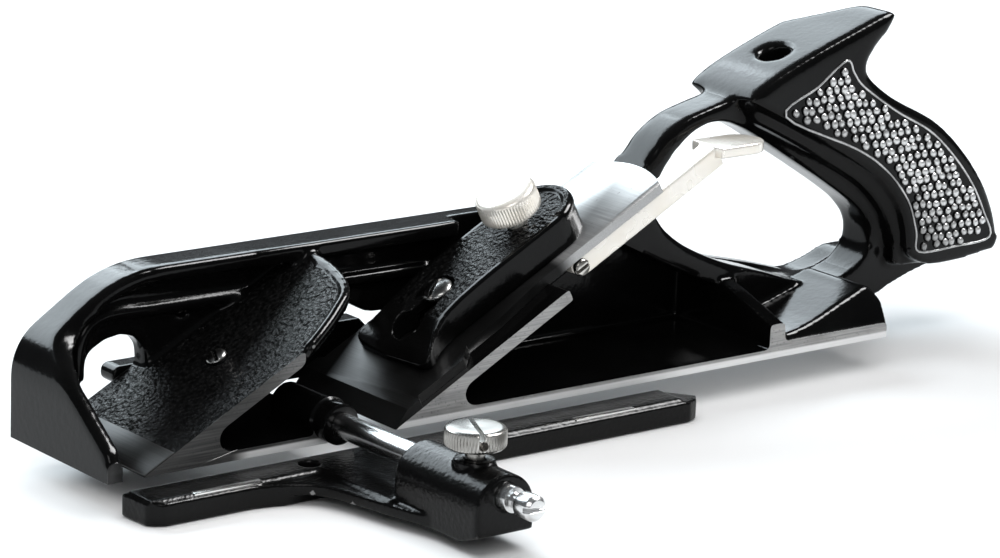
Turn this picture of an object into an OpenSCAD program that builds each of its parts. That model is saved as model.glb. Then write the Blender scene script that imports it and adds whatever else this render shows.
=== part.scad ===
// Rebate plane: a cast body with two beds, a cutter under a lever cap, an adjusting lever,
// a sliding fence on its arm, a depth stop and a spur. X runs from toe to heel, Y from the
// fence side to the web side, Z up from the sole. The origin is on the sole under the fence arm.

/* [Body] */
// Length of the sole from toe to heel
sole_len = 238; // [230:1:250]
// Width of the sole and of the cutting edge
sole_w = 42; // [40:0.5:46]
// Thickness of the sole
sole_t = 2.4; // [2:0.1:3.2]
// Height of the top rail above the sole
rail_z = 38.6; // [37:0.2:42]
// Width of the top rail
rail_w = 10; // [8:0.5:11]
// Thickness of the top rail and of the nose wall
rail_t = 4; // [3:0.25:5]
// Thickness of the web on the right side
web_t = 5; // [4:0.25:5]
// Height of the straight part of the nose
nose_rise = 15; // [12:0.5:17]
// Distance from the toe to the end of the wide top rail
rail_end = 122; // [110:1:124]

/* [Beds] */
// Angle of both beds to the sole
bed_angle = 28; // [27:0.5:30]
// Thickness of both bed plates
bed_t = 3; // [2.5:0.1:3.4]
// Distance from the toe to the foot of the front bed
front_bed_x = 9.5; // [8:0.25:11]
// Distance from the toe to the foot of the main bed
main_bed_x = 80; // [78:0.5:82]
// Length of the main bed up its slope
main_bed_len = 58; // [56:0.5:60]
// Opening of the main mouth ahead of its bed
mouth_gap = 12; // [10:0.5:13]

/* [Cutter] */
// Thickness of the cutter
cutter_t = 2.4; // [2:0.1:2.8]
// Length of the cutter
cutter_len = 101; // [96:0.5:102]
// Width of the cutter's shank
cutter_w = 27; // [25:0.5:28]
// Angle of the cutter's bevel
cutter_bevel = 25; // [22:1:32]

/* [Lever cap] */
// Distance up the bed to the toe of the lever cap
cap_s = 16.5; // [16:0.25:18]
// Length of the lever cap
cap_len = 62.5; // [61:0.5:64]
// Width of the lever cap across its spade toe
cap_w = 28.5; // [27:0.5:30]
// Width of the lever cap above its toe
cap_top_w = 21; // [19:0.5:22]
// Height of the lever cap above the cutter
cap_h = 8.6; // [8:0.1:9.5]
// Wall thickness of the lever cap
cap_wall = 2.6; // [2.2:0.1:3]
// Distance up the bed to the fulcrum screw
fulcrum_s = 36; // [35:0.5:37]
// Distance up the front bed to its own fulcrum screw
front_screw_s = 38; // [36:0.5:40]
// Diameter of the fulcrum screws' shank
fulcrum_d = 4; // [3.5:0.1:4.4]
// Diameter of the fulcrum screws' head
fulcrum_head_d = 8; // [7:0.1:8.4]
// Travel of the lever cap along its keyhole
cap_travel = 11; // [9.5:0.5:12]
// Distance up the bed to the lever cap thumbscrew
thumb_s = 63.5; // [62:0.5:65]
// Diameter of the thumbscrew's head
thumb_d = 15.5; // [13:0.25:16]
// Thickness of the thumbscrew's head
thumb_t = 6.8; // [6:0.2:8]
// Height of the thumbscrew's head above the lever cap
thumb_lift = 3; // [1:0.25:4]
// Diameter of the thumbscrew's shank
thumb_shank_d = 5; // [4:0.1:5.6]

/* [Adjusting lever] */
// Distance up the bed to the lever's pivot
pivot_s = 68; // [67:0.5:69]
// Depth of the pivot below the bed
pivot_drop = 2.4; // [2.3:0.1:3]
// Diameter of the pivot screw
pivot_d = 2; // [1.8:0.1:2.2]
// Width of the lever from side to side
lever_w = 6; // [5:0.25:6.5]
// Length of the lever from its pivot to its thumb pad
lever_len = 50; // [46:0.5:51]
// Depth of the lever below the cutter
lever_t = 5.4; // [4.5:0.1:6]
// Length of the thumb pad
pad_len = 17; // [15:0.5:18]
// Width of the thumb pad
pad_w = 12; // [10:0.5:12]

/* [Fence] */
// Distance from the toe to the fence arm
arm_x = 61; // [58:0.5:62]
// Height of the fence arm above the sole
arm_z = 5.5; // [5.3:0.1:5.8]
// Diameter of the fence arm
arm_d = 6; // [5:0.1:6.4]
// Reach of the fence arm beyond the side of the body
arm_reach = 78; // [75:1:84]
// Length of the fence bar ahead of the arm
fence_front = 57.5; // [50:0.5:60]
// Length of the fence bar behind the arm
fence_rear = 105.5; // [90:0.5:110]
// Width of the fence bar
fence_w = 12; // [11:0.5:13]
// Height of the fence bar
fence_h = 6.2; // [5.5:0.1:7]
// Gap between the sole and the top of the fence bar
fence_drop = 1.8; // [1.4:0.1:2.4]
// Distance from the fence's guide face to the start of its boss
boss_start = 36; // [34:0.5:38]
// Length of the fence's boss along the arm
boss_len = 31; // [28:0.5:32]
// Radius of the boss over the arm
boss_r = 8; // [7.6:0.1:8.4]
// Width of the neck where it meets the boss
boss_w = 22; // [20:0.5:24]
// Diameter of the facing screw holes
facing_hole_d = 5; // [4:0.1:5.4]
// Distance of each facing screw hole from the arm
facing_hole_x = 10; // [9:0.25:12]
// Diameter of the fence thumbscrew's head
knob_d = 14.2; // [13:0.2:16]
// Thickness of the fence thumbscrew's head
knob_t = 4.8; // [4.2:0.1:6]
// Diameter of the fence thumbscrew's shank
knob_shank_d = 4.6; // [4:0.1:5]

/* [Depth stop and spur] */
// Distance from the toe to the depth stop's stem
stop_x = 44; // [42:0.5:46]
// Width of the depth stop's stem
stop_w = 11; // [10:0.5:12]
// Thickness of the depth stop
stop_t = 4; // [3.5:0.1:4.5]
// Length of the depth stop's foot
stop_foot_len = 74; // [70:0.5:76]
// Height of the depth stop's foot
stop_foot_h = 6.5; // [6:0.1:7]
// Depth of the shoe below the depth stop's front arm
stop_drop = 6.2; // [5:0.1:7]
// Height of the depth stop's foot above the sole as it is set
stop_set = 8; // [7.6:0.1:8.4]
// Travel of the depth stop down and up from there
stop_travel = 6; // [5:0.25:6.5]
// Diameter of the depth stop's screw
stop_screw_d = 4; // [3.4:0.1:4.4]
// Diameter of the spur across its points
spur_d = 13; // [11:0.25:13.5]
// Thickness of the spur
spur_t = 1.2; // [1:0.05:1.4]
// Diameter of the spur's screw
spur_screw_d = 3; // [2.6:0.1:3.4]

/* [Handle] */
// Width of the grip and of the thumb rest on it
handle_w = 26; // [24:0.5:28]
// Width of the strut that carries the thumb rest
strut_w = 12; // [11:0.5:13]
// Distance of the handle's middle plane from the body's, towards the web
handle_y = 6; // [5.5:0.25:7]
// Diameter of the hanging hole in the thumb rest
hang_hole_d = 8; // [6:0.25:9]

/* [Hidden] */
$fn = 48;

half_w = sole_w / 2;
web_y = half_w - web_t;
rail_y = half_w - rail_w;
heel = sole_len;
slope = tan(bed_angle);
slip = 0.05;
room = 0.3;
sink = 0.25;
far = 400;

enamel = "#18191b";
steel = "#c9cbcd";
nickel = "#d3cbb8";

// Nose: a straight front, a tight round, a slanted line and a wide crown into the level rail.
nose_r = 14;
nose_slope = 33;
crown_r = 35;
nose_bend_x = nose_r * (1 - sin(nose_slope));
nose_bend_z = nose_rise + nose_r * cos(nose_slope);
crown_start_z = rail_z - crown_r * (1 - cos(nose_slope));
crown_x = nose_bend_x + (crown_start_z - nose_bend_z) / tan(nose_slope) + crown_r * sin(nose_slope);

function nose_line(inset) = concat(
    [[inset, 0]],
    [for (h = [90:-9.5:nose_slope]) [nose_r, nose_rise] + (nose_r - inset) * [-sin(h), cos(h)]],
    [for (h = [nose_slope:-8.25:0]) [crown_x, rail_z - crown_r] + (crown_r - inset) * [-sin(h), cos(h)]]);

// A smooth open curve through points: Catmull-Rom spans of n steps each.
function bend(a, b, c, d, t) = 0.5 * (2 * b + (c - a) * t + (2 * a - 5 * b + 4 * c - d) * t * t
    + (3 * b - a - 3 * c + d) * t * t * t);
function curve(p, n = 4) = concat(
    [for (i = [0:len(p) - 2], k = [0:n - 1])
        bend(p[max(i - 1, 0)], p[i], p[i + 1], p[min(i + 2, len(p) - 1)], k / n)],
    [p[len(p) - 1]]);
function loop(p, n = 4) = [for (i = [0:len(p) - 1], k = [0:n - 1])
    bend(p[(i + len(p) - 1) % len(p)], p[i], p[(i + 1) % len(p)], p[(i + 2) % len(p)], k / n)];
function back(p) = [for (i = [len(p) - 1:-1:0]) p[i]];
function from_heel(p) = [for (q = p) q + [heel, 0]];

// Side outlines of the handle, measured from the heel.
strut_top = [[-88, 34.5], [-76, 40.5], [-70, 45], [-65.5, 50], [-61.3, 54.6], [-57.5, 57.4], [-52.4, 59.8],
    [-44.5, 61.8], [-38, 63.4]];
rest_top = [[-35.5, 65.8], [-29, 69.2], [-20, 72.8], [-10.5, 76.2], [-2, 79], [4.5, 81.2], [9, 82.4],
    [11.4, 81.8]];
grip_back = [[8.4, 77.2], [3.6, 72.6], [1.8, 67], [12, 59.2], [26.6, 52], [36.6, 44.1], [44.9, 34.9],
    [50.3, 25.9], [53, 17.2], [51.6, 13.8]];
grip_foot = [[43, 12.2], [29, 9], [19, 5.8], [10, 2.2]];
finger_gap = [[-61, 45], [-56.5, 51], [-50, 55.8], [-43, 57.4], [-34, 54.8], [-17, 44.8], [-2, 35.6],
    [7.5, 29], [12, 23], [11.7, 16.5], [6.7, 12], [-2, 10.3], [-12, 11.6], [-24, 15.6], [-38, 20],
    [-52, 26.5], [-60, 33], [-63, 39]];
cheek_front = [[20, 16.3], [19, 21.9], [15.4, 30.4], [7.6, 38.6], [-3.4, 45.4], [-21.5, 55.1], [-31, 59.8]];
cheek_lean = [-0.53, -0.85];
rest_tilt = 21;

function handle_side() = concat(curve(concat(strut_top, rest_top), 3), curve(grip_back, 3),
    curve(grip_foot, 3),
    [[0, 1.2], [-36, 1.2], [-36, 12.5], [-46, 16.5], [-58, 22], [-72, 29]]);
function cheek_side(swell) = concat(curve(concat([[-38, 63.4]], rest_top), 3),
    curve(grip_back, 3),
    curve(concat([[40, 12.4], [28, 12.4]], [for (p = cheek_front) p + swell * cheek_lean]), 3));

// Shapes drawn in side view (x, z) between two planes of y, or in end view (y, z) along x.
module side(y0, y1) translate([0, y1, 0]) rotate([90, 0, 0]) linear_extrude(y1 - y0) children();
module along(x0, x1) translate([x0, 0, 0]) rotate([90, 0, 90]) linear_extrude(x1 - x0) children();
module across(x, z) translate([x, 0, z]) rotate([90, 0, 0]) children();
module from_toe() translate([-arm_x, 0, 0]) children();
module on_bed(foot) translate([foot, 0, 0]) rotate([0, -bed_angle, 0]) children();

// Web: the wall on the right side, with its two throats.
module web_outline() polygon(concat(nose_line(0),
    curve([[rail_end + 12, rail_z], [heel - 72, 36.5], [heel - 60, 31], [heel - 46, 24], [heel - 32, 17.6],
        [heel - 14, 13], [heel, 9]], 3),
    [[heel, 0]]));
front_throat = [[rail_t + 0.5, -1], [rail_t + 0.5, 3.5], [13, 7.5], [16.3, 11], [16.3, 14.5], [18.5, 18.8],
    [22.5, 21], [27, 21.8], [31, 20.8], [33.5, 18]];
main_throat = [[-mouth_gap, -1], [-mouth_gap, 7.5], [-4, 13], [7, 20.5], [9, 21.8], [10.5, 21.6],
    [14, 19.6],
    [18, 17.5], [24.5, 17]];

module throat(foot, outline, reach) side(web_y - 1, half_w + 1) polygon(concat(outline,
    [[foot + reach, reach * slope - sink], [foot + sink / slope, 0], [foot + sink / slope, -1]]));

// Nose and rail: the bent flange, narrowing from the full width at the toe to the rail.
module nose_and_rail() intersection() {
    side(-half_w, half_w) polygon(concat(nose_line(0), [[rail_end, rail_z], [rail_end, rail_z - rail_t]],
        back(nose_line(rail_t))));
    along(-1, far) polygon(concat([[half_w, -1], [half_w, far], [rail_y, far]],
        curve([[rail_y, 31], [rail_y - 1, 26.6], [rail_y - 4.5, 23.6], [-4, 17.9], [-16, 9.8], [-20, 6.6],
            [-half_w, 4]], 3),
        [[-half_w, -1]]));
}

// Bed: one side outline of bed plate, wedge and sole strip, round at the front of its pocket.
pocket_r = 3.2;
pocket_run = (bed_t / cos(bed_angle) + sole_t + pocket_r + pocket_r / cos(bed_angle)) / slope;
function up_bed(s, off) = [s * cos(bed_angle) - off * sin(bed_angle), s * sin(bed_angle)
    + off * cos(bed_angle)];
module bed(foot, length, strip_end) side(-half_w, web_y + 1) polygon(concat(
    [[foot, 0], [foot, 0] + up_bed(length, 0), [foot, 0] + up_bed(length, -bed_t)],
    [for (k = [0:8]) let (a = 90 + bed_angle + k * (180 - bed_angle) / 8)
        [foot + pocket_run, sole_t + pocket_r] + pocket_r * [cos(a), sin(a)]],
    [[strip_end, sole_t], [strip_end, 0]]));

// Front bed, whose top sweeps from a low left edge up to the rail.
front_bed_len = 80;
shoulder_z = 16;
front_shoulder = curve([[53, -half_w], [60, -half_w + 2], [67, -half_w + 5.4], [73.3, -10.8], [77, 0],
    [79, rail_y + 2]], 3);
module front_bed() difference() {
    bed(front_bed_x, front_bed_len, main_bed_x - mouth_gap);
    translate([0, 0, shoulder_z]) linear_extrude(far)
        polygon(concat(front_shoulder, [[90, rail_y + 2], [90, -half_w - 1], [53, -half_w - 1]]));
}

module main_bed() bed(main_bed_x, main_bed_len, heel);

// Lug under the top of the main bed, which the lever's pivot screw goes into.
lug_y = -5.7;
lever_y = lug_y - room - lever_w;
module pivot_lug() on_bed(main_bed_x) difference() {
    translate([main_bed_len - 5, lug_y, -pivot_drop - 4])
        cube([pivot_s + 10 - main_bed_len, 13, pivot_drop + 3.6]);
    translate([pivot_s, lug_y - 1, -pivot_drop]) rotate([-90, 0, 0])
        cylinder(d = pivot_d + 2 * slip, h = 10);
}

// Heel: the wall across the rear pocket, and the deck behind it.
// The deck rises toward the heel and drops to the left edge.
wall_x = heel - 40.5;
wall_t = 5;
wall_top = [[-half_w, 8.8], [-half_w + 4, 10.2], [-6, 14.2], [8, 18.4], [12.5, 19.8], [half_w, 19.8]];
deck_rise = [[-36, 5.4], [-31, 5.9], [-24, 7.4], [-16, 9.8], [-8, 12.2], [-3.5, 13.2], [0, 9]];
deck_edge = [[-half_w, 3.4], [-half_w + 4.5, 14]];
module heel_deck() {
    along(wall_x, wall_x + wall_t) polygon(concat([[half_w, 0], [-half_w, 0]], wall_top));
    intersection() {
        along(wall_x + 1, heel) polygon(concat([[handle_y, 0.6], [-half_w, 0.6]],
            deck_edge, [[handle_y, 14]]));
        side(-far, far) polygon(concat([[heel + 0.5, 0.3], [wall_x + 0.5, 0.3], [wall_x + 0.5, 5.4]],
            from_heel(curve(deck_rise, 2)), [[heel + 0.5, 9]]));
    }
}

module handle() difference() {
    union() {
        side(handle_y - strut_w / 2, handle_y + strut_w / 2) polygon(from_heel(handle_side()));
        for (layer = [[handle_w / 2, 0], [handle_w / 2 - 3, 3.8]])
            side(handle_y - layer[0], handle_y + layer[0]) polygon(from_heel(cheek_side(layer[1])));
        side(handle_y - strut_w / 2, half_w - 0.5) polygon(from_heel(concat(
            curve([[-40, 16], [-30, 15], [-12, 11.2], [-2, 9.9], [7, 11.6], [14, 14], [24, 14]], 3),
            [[24, 8], [11, 2.2], [0, 1.2], [-40, 1.2]])));
        side(handle_y, half_w - 0.5) polygon(from_heel([[-100, 27.5], [-88, 33.5], [-76, 40],
            [-70, 44.5], [-63, 40],
            [-60, 32], [-78, 24], [-100, 24]]));
    }
    side(-half_w, half_w + 1) polygon(from_heel(loop(finger_gap, 3)));
    translate([heel, 0, 72]) linear_extrude(far) polygon([[-9, half_w], [3.5, 10.5], [12, 4], [24, 4],
        [24, half_w]]);
    translate([heel - 20, handle_y, 72]) rotate([0, -rest_tilt, 0]) translate([0, 0, -26])
        cylinder(d = hang_hole_d, h = 40);
}

// Boss on the left side, which the fence arm screws into.
arm_boss_r = 5;
arm_boss_out = 4.5;
arm_depth = 16;
module arm_boss() across(arm_x, arm_z) translate([0, 0, half_w - arm_depth - 2])
    cylinder(r = arm_boss_r, h = arm_depth + 2 + arm_boss_out);

spur_x = main_bed_x - mouth_gap - 1 - spur_d / 2;
spur_z = 5.2;
stop_screw_z = 26;

module body_casting() color(enamel) from_toe() difference() {
    union() {
        difference() {
            side(web_y, half_w) web_outline();
            throat(front_bed_x, front_throat, 24.5);
            throat(main_bed_x, [for (p = main_throat) p + [main_bed_x, 0]], 30);
        }
        nose_and_rail();
        front_bed();
        main_bed();
        pivot_lug();
        heel_deck();
        handle();
        arm_boss();
    }
    across(arm_x, arm_z) translate([0, 0, half_w - arm_depth]) cylinder(d = arm_d + 2 * slip, h = far);
    on_bed(main_bed_x) translate([fulcrum_s, 0, -bed_t - 1])
        cylinder(d = fulcrum_d + 2 * slip, h = bed_t + 2);
    on_bed(front_bed_x) translate([front_screw_s, 0, -bed_t - 1])
        cylinder(d = fulcrum_d + 2 * slip, h = bed_t + 2);
    across(spur_x, spur_z) translate([0, 0, -far]) cylinder(d = spur_screw_d + 2 * slip,
        h = far - web_y + 1);
    across(spur_x, spur_z) translate([0, 0, -far]) cylinder(d = spur_d + 2 * room,
        h = far - half_w + spur_t + slip);
    across(stop_x, stop_screw_z) translate([0, 0, -half_w - 1])
        cylinder(d = stop_screw_d + 2 * slip, h = web_t + 2);
}

// Cutter: a full-width cutting end, rounded shoulders and a narrower shank with a round top.
edge_len = 9;
shoulder_w = 38.4;
neck_w = 30.8;
top_rise = 3.5;
groove_pitch = 4;
groove_w = 2.2;
groove_depth = 1.2;
function cutter_right() = concat(
    [[0, half_w], [edge_len, half_w], [edge_len + 1, shoulder_w / 2], [24.6, shoulder_w / 2]],
    curve([[25.8, shoulder_w / 2 - 0.8], [27.2, (shoulder_w + neck_w) / 4], [29.2, neck_w / 2]], 2),
    [[40, neck_w / 2], [56, cutter_w / 2]],
    [for (t = [0:6]) [cutter_len - top_rise * pow(1 - t / 6, 2), cutter_w / 2 * (1 - t / 6)]]);
function both_sides(p) = concat(p, [for (q = back(p)) if (q[1] > 0) [q[0], -q[1]]]);
module cutter() color(steel) from_toe() on_bed(main_bed_x) translate([0, 0, slip]) difference() {
    linear_extrude(cutter_t) polygon(both_sides(cutter_right()));
    rotate([0, -cutter_bevel, 0]) translate([-20, -sole_w, 0]) cube([40, 2 * sole_w, 20]);
    translate([fulcrum_s - 6, -fulcrum_d / 2 - 0.6, -1]) cube([12, fulcrum_d + 1.2, cutter_t + 2]);
    for (end = [-6, 6]) translate([fulcrum_s + end, 0, -1]) cylinder(d = fulcrum_d + 1.2, h = cutter_t + 2);
    for (k = [-3:3]) translate([pivot_s - groove_w / 2 + k * groove_pitch, lever_y - 0.4, -1])
        cube([groove_w, lever_w + 3, 1 + groove_depth]);
}

// Lever cap: a spade toe that presses on the cutter, a narrower back and a round end under the thumbscrew.
cap_seat = cutter_t + 2 * slip;
cap_end = cap_s + cap_len;
cap_hollow = 3.4;
cap_recess = 2.4;
keyhole_s = fulcrum_s - cap_travel;
function cap_half(t) = cap_top_w / 2 + (cap_w - cap_top_w) / 2 * t;
function cap_right() = concat([[cap_s, 0]],
    curve([for (p = [[0.5, 0.3], [1.2, 0.82], [2.3, 1], [3.6, 0.92], [4.8, 0.74], [7.2, 0.39],
        [9.8, 0.18], [13.6, 0]])
        [cap_s + p[0], cap_half(p[1])]], 2),
    [for (a = [90:-15:0]) [cap_end - cap_top_w / 2, 0] + cap_top_w / 2 * [cos(a), sin(a)]]);
function cap_rise() = [for (p = curve([[0, 0.16], [2, 0.33], [5.5, 0.51], [11.5, 0.79], [19.5, 0.95],
    [30, 1]], 2))
    [cap_s + p[0], cap_h * p[1]]];
module cap_form() intersection() {
    linear_extrude(cap_h + 2) polygon(both_sides(cap_right()));
    side(-cap_w, cap_w) polygon(concat([[cap_s - 2, -1], [cap_s - 2, cap_h * 0.1]], cap_rise(),
        [[cap_end + 2, cap_h], [cap_end + 2, -1]]));
}
module lever_cap() color(enamel) from_toe() on_bed(main_bed_x) translate([0, 0, cap_seat]) difference() {
    cap_form();
    translate([cap_s + 13, -cap_top_w / 2 + cap_wall, -1])
        cube([cap_len - 21, cap_top_w - 2 * cap_wall, cap_hollow + 1]);
    translate([thumb_s, 0, -1]) cylinder(d = thumb_shank_d + 2 * slip, h = 20);
    translate([keyhole_s, 0, -1]) cylinder(d = fulcrum_head_d + 2 * room, h = 20);
    translate([keyhole_s, -fulcrum_d / 2 - room, -1]) cube([fulcrum_s - keyhole_s,
        fulcrum_d + 2 * room, 20]);
    translate([fulcrum_s, 0, -1]) cylinder(d = fulcrum_d + 2 * room, h = 20);
    translate([keyhole_s, -fulcrum_head_d / 2 - room, cap_h - cap_recess])
        cube([fulcrum_s - keyhole_s, fulcrum_head_d + 2 * room, 20]);
    translate([fulcrum_s, 0, cap_h - cap_recess]) cylinder(d = fulcrum_head_d + 2 * room, h = 20);
}

// A turned screw head with a chamfered rim, a shank below it, and a slot across its top.
module turned(head_d, head_t, shank_d, shank_l, chamfer) rotate_extrude() polygon([[0, -shank_l],
    [shank_d / 2 - 0.4, -shank_l], [shank_d / 2, -shank_l + 0.4], [shank_d / 2, 0],
        [head_d / 2 - chamfer, 0],
    [head_d / 2, chamfer], [head_d / 2, head_t - chamfer], [head_d / 2 - chamfer, head_t], [0, head_t]]);
module slotted(head_d, head_t, shank_d, shank_l, chamfer, slot_w, slot_depth) difference() {
    turned(head_d, head_t, shank_d, shank_l, chamfer);
    translate([-head_d, -slot_w / 2, head_t - slot_depth]) cube([2 * head_d, slot_w, head_t]);
}

thumb_seat = cap_seat + cap_h + thumb_lift;
module lever_cap_thumbscrew() color(nickel) from_toe() on_bed(main_bed_x)
    translate([thumb_s, 0, thumb_seat])
    turned(thumb_d, thumb_t, thumb_shank_d, thumb_seat - cap_seat - slip, 0.8);

fulcrum_lift = cap_seat + cap_h - cap_recess + room;
module main_fulcrum_screw() color(nickel) from_toe() on_bed(main_bed_x)
    translate([fulcrum_s, 0, fulcrum_lift])
    slotted(fulcrum_head_d, 2.6, fulcrum_d, fulcrum_lift + bed_t, 0.7, 1, 1.2);
module front_fulcrum_screw() color(nickel) from_toe() on_bed(front_bed_x)
    translate([front_screw_s, 0, slip])
    slotted(fulcrum_head_d - 2.8, 1.6, fulcrum_d, bed_t, 0.5, 1, 0.8);

// Adjusting lever: a hub on its pivot, a nib up into the cutter's groove, an arm and a level thumb pad.
nib_w = 1.4;
lever_gap = 0.5;
pad_t = 2.8;
hub_r = pivot_drop - 0.3;
module adjusting_lever() color(nickel) from_toe() on_bed(main_bed_x) difference() {
    union() {
        translate([pivot_s, lever_y, -pivot_drop]) rotate([-90, 0, 0]) cylinder(r = hub_r, h = lever_w);
        translate([pivot_s - nib_w / 2, lever_y, -pivot_drop]) cube([nib_w, lever_w, pivot_drop + 0.9]);
        translate([pivot_s + hub_r / 2, lever_y, -lever_gap - lever_t])
            cube([lever_len - hub_r / 2, lever_w, lever_t]);
        translate([pivot_s + lever_len, lever_y + lever_w / 2, -lever_gap - pad_t / 2])
            rotate([0, bed_angle, 0])
            translate([-1.5, 0, -pad_t / 2]) {
                translate([0, -pad_w / 2, 0]) cube([pad_len - pad_w / 2, pad_w, pad_t]);
                translate([pad_len - pad_w / 2, 0, 0]) cylinder(d = pad_w, h = pad_t);
            }
    }
    translate([pivot_s, lever_y - 1, -pivot_drop]) rotate([-90, 0, 0])
        cylinder(d = pivot_d + 2 * slip, h = lever_w + 2);
}
module lever_pivot_screw() color(nickel) from_toe() on_bed(main_bed_x)
    translate([pivot_s, lever_y - room, -pivot_drop]) rotate([90, 0, 0])
        slotted(pivot_d + 2.4, 1.8, pivot_d, lever_w + 2 * room + 8, 0.4, 0.8, 0.7);

// Fence arm: a polished rod with a turned neck and a slotted head at its free end.
neck_l = 3;
arm_head_l = 5;
module fence_arm() color(steel) from_toe() across(arm_x, arm_z) translate([0, 0, half_w]) difference() {
    rotate_extrude() polygon([[0, -arm_depth + slip], [arm_d / 2, -arm_depth + slip],
        [arm_d / 2, arm_reach - arm_head_l - neck_l], [arm_d / 2 - 1.2, arm_reach - arm_head_l - neck_l],
        [arm_d / 2 - 1.2, arm_reach - arm_head_l], [arm_d / 2, arm_reach - arm_head_l],
        [arm_d / 2, arm_reach - 0.8], [arm_d / 2 - 0.8, arm_reach], [0, arm_reach]]);
    translate([-arm_d, -0.6, arm_reach - 1.6]) cube([2 * arm_d, 1.2, 3]);
}

// Fence: a bar below the sole, a low web and a boss that slides on the arm.
bar_top = -fence_drop;
bar_low = bar_top - fence_h;
guide_y = -half_w;
stem_y = guide_y - boss_start;
boss_low = -5.6;
boss_drop = 3;
boss_end = stem_y - boss_len;
knob_y = stem_y - boss_len * 0.62;
function bar_plan() = concat(
    [[-fence_front, guide_y], [fence_rear - 6, guide_y], [fence_rear, guide_y - 8],
        [fence_rear - 2, guide_y - fence_w + 1.4],
        [fence_rear - 5, guide_y - fence_w]],
    curve([[40, guide_y - fence_w], [24, guide_y - fence_w - 2], [15, guide_y - fence_w - 8],
        [boss_w / 2, stem_y - 2]], 4),
    [[boss_r, stem_y - 14], [-boss_r, stem_y - 14]],
    curve([[-boss_w / 2, stem_y - 2], [-15, guide_y - fence_w - 8], [-22, guide_y - fence_w - 2],
        [-30, guide_y - fence_w]], 4),
    [[-fence_front + 4, guide_y - fence_w], [-fence_front + 0.6, guide_y - fence_w + 2.4]]);
web_low = bar_low + 2.6;
module fence() color(enamel) difference() {
    union() {
        translate([0, 0, web_low]) linear_extrude(bar_top - web_low - 0.8) polygon(bar_plan());
        translate([0, 0, bar_low]) linear_extrude(fence_h - 0.8) intersection() {
            polygon(bar_plan());
            translate([-far / 2, guide_y - fence_w - 2]) square([far, fence_w + 2]);
        }
        translate([-fence_front + 1.2, guide_y - fence_w + 1.2, bar_low + 1])
            cube([fence_front + fence_rear - 8, fence_w - 2.4, fence_h - 1]);
        translate([-boss_w / 2 + 1, stem_y - 2, web_low + 1])
            cube([boss_w - 2, boss_start - 2, bar_top - web_low - 1]);
        translate([0, stem_y, arm_z - boss_drop]) rotate([90, 0, 0]) cylinder(r = boss_r, h = boss_len);
        translate([-boss_r, boss_end, boss_low]) cube([2 * boss_r, boss_len, arm_z - boss_drop - boss_low]);
        translate([0, knob_y, arm_z]) cylinder(d = knob_shank_d + 5, h = boss_r - boss_drop + 0.8);
    }
    along(-boss_w, boss_w) polygon([[boss_end - 1, boss_low - 1], [boss_end + 9, boss_low - 1],
        [boss_end - 1, boss_low + 2.8]]);
    rotate([90, 0, 0]) translate([0, arm_z, -stem_y - 10]) cylinder(d = arm_d + 2 * slip,
        h = boss_len + 20);
    translate([0, knob_y, arm_z]) cylinder(d = knob_shank_d + 2 * slip, h = 20);
    for (s = [-1, 1]) translate([s * facing_hole_x, guide_y - fence_w / 2, bar_low - 1])
        cylinder(d = facing_hole_d, h = fence_h + 2);
}
knob_seat = arm_z - boss_drop + boss_r + 3.4;
module fence_thumbscrew() color(nickel) translate([0, knob_y, knob_seat]) difference() {
    slotted(knob_d, knob_t, knob_shank_d, knob_seat - arm_z - arm_d / 2 - 0.1, 0.5, 1.2, 1.6);
    translate([0, 0, knob_t / 2 - 0.4]) rotate([0, 90, -112]) cylinder(d = 2.2, h = knob_d);
}

// Depth stop: a slotted stem on the web's outside with a foot along the sole, held by its screw.
stop_y = half_w + slip;
stem_top = rail_z - 1.5;
slot_w = stop_screw_d + 2 * room;
slot_spare = 1.2;
slot_half = stop_travel + slot_spare;
stop_arm_h = stop_foot_h - 2;
stop_front = stop_x - 16 + stop_arm_h / 2;
stop_rear = stop_x - 16 + stop_foot_len;
function shoe() = [[stop_x - stop_w / 2, 0], [stop_x + 9, 0], [stop_x + 13, -stop_drop],
    [stop_rear - 3, -stop_drop],
    [stop_rear, -stop_drop + 3], [stop_rear, stop_foot_h - 2.5], [stop_rear - 2.5, stop_foot_h],
    [stop_x - stop_w / 2, stop_foot_h]];
module depth_stop() color(enamel) from_toe() difference() {
    union() {
        translate([stop_x - stop_w / 2, stop_y, stop_set]) cube([stop_w, stop_t, stem_top - stop_set]);
        side(stop_y, stop_y + stop_t + 2) translate([0, stop_set]) polygon(shoe());
        translate([stop_front, stop_y, stop_set]) cube([stop_x - stop_front, stop_t + 2, stop_arm_h]);
        across(stop_front, stop_set + stop_arm_h / 2) translate([0, 0, -stop_y - stop_t - 2])
            cylinder(d = stop_arm_h, h = stop_t + 2);
    }
    for (z = [-1, 1]) across(stop_x, stop_screw_z + z * slot_half) translate([0, 0, -far / 2])
        cylinder(d = slot_w, h = far / 2);
    translate([stop_x - slot_w / 2, 0, stop_screw_z - slot_half]) cube([slot_w, far / 2, 2 * slot_half]);
}
washer_t = 1;
stop_knob_d = 10;
module depth_stop_washer() color(steel) from_toe() across(stop_x, stop_screw_z)
    translate([0, 0, -stop_y - stop_t - slip - washer_t]) difference() {
        cylinder(d = stop_screw_d + 5, h = washer_t);
        translate([0, 0, -1]) cylinder(d = stop_screw_d + 2 * slip, h = washer_t + 2);
    }
module depth_stop_screw() color(nickel) from_toe() across(stop_x, stop_screw_z)
    translate([0, 0, -stop_y - stop_t - 2 * slip - washer_t]) mirror([0, 0, 1])
        slotted(stop_knob_d, 5, stop_screw_d, web_t + stop_t + washer_t, 0.5, 1.1, 1.4);

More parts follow.
